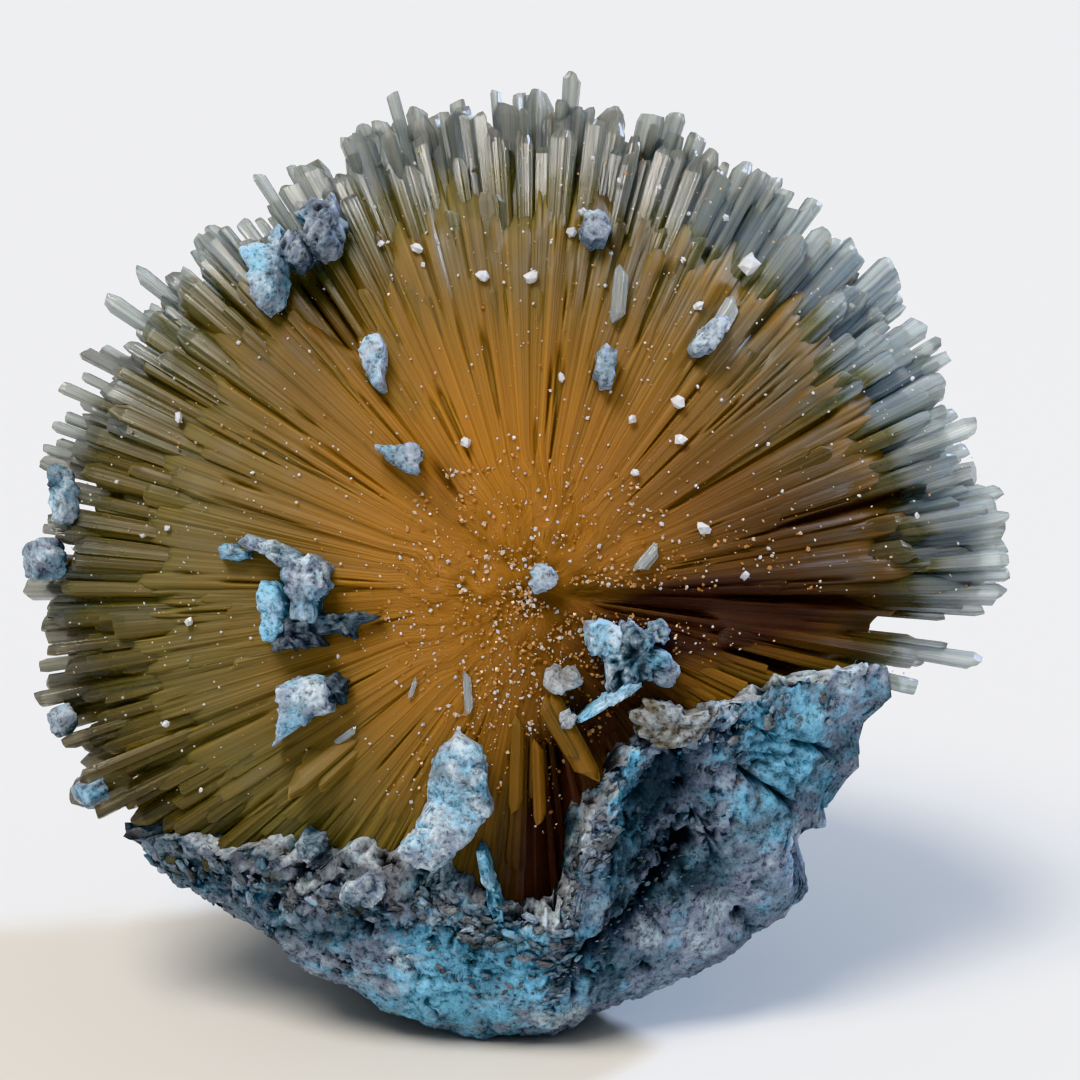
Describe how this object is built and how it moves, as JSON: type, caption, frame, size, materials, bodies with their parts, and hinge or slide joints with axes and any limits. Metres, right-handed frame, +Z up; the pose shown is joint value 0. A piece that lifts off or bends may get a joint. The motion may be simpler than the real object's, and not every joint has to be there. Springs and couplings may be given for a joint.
{
  "type": "radiating crystal cluster",
  "caption": "Palm-sized ball of amber needle crystals that radiate from one point, cupped from below by a crust of blue-grey clay, with scraps of the clay on the tips.",
  "frame": {"origin": "centre of the flat spot that the cluster rests on, straight below the point that the crystals grow from", "axes": "+Z up, -Y towards the showy side, +X to the right seen from the showy side"},
  "size_m": [0.0969, 0.0633, 0.0932],
  "materials": {
    "crystal": "clear amber crystal, glossy faces, cloudy towards the roots",
    "clay": "dull, pitted, crumbly dry clay"
  },
  "bodies": {
    "root": {"crystal_spray": "crystal", "clay_cup": "clay", "clay_crust_left": "clay", "clay_chip_left": "clay", "clay_tongue": "clay", "clay_crust_right": "clay", "clay_wedge_upper": "clay", "clay_flake_upper": "clay", "clay_lump_center": "clay", "clay_block_upper_left": "clay", "clay_crust_upper_left": "clay", "clay_lump_far_left": "clay", "clay_rind_far_left": "clay", "clay_lump_low_left": "clay", "clay_crumb_low_left": "clay", "clay_flake_upper_middle": "clay", "clay_flake_upper_right": "clay", "clay_crumb_top": "clay", "clay_lump_right": "clay", "clay_crumb_low_middle": "clay", "snapped_crystal": "crystal"}
  },
  "joints": []
}
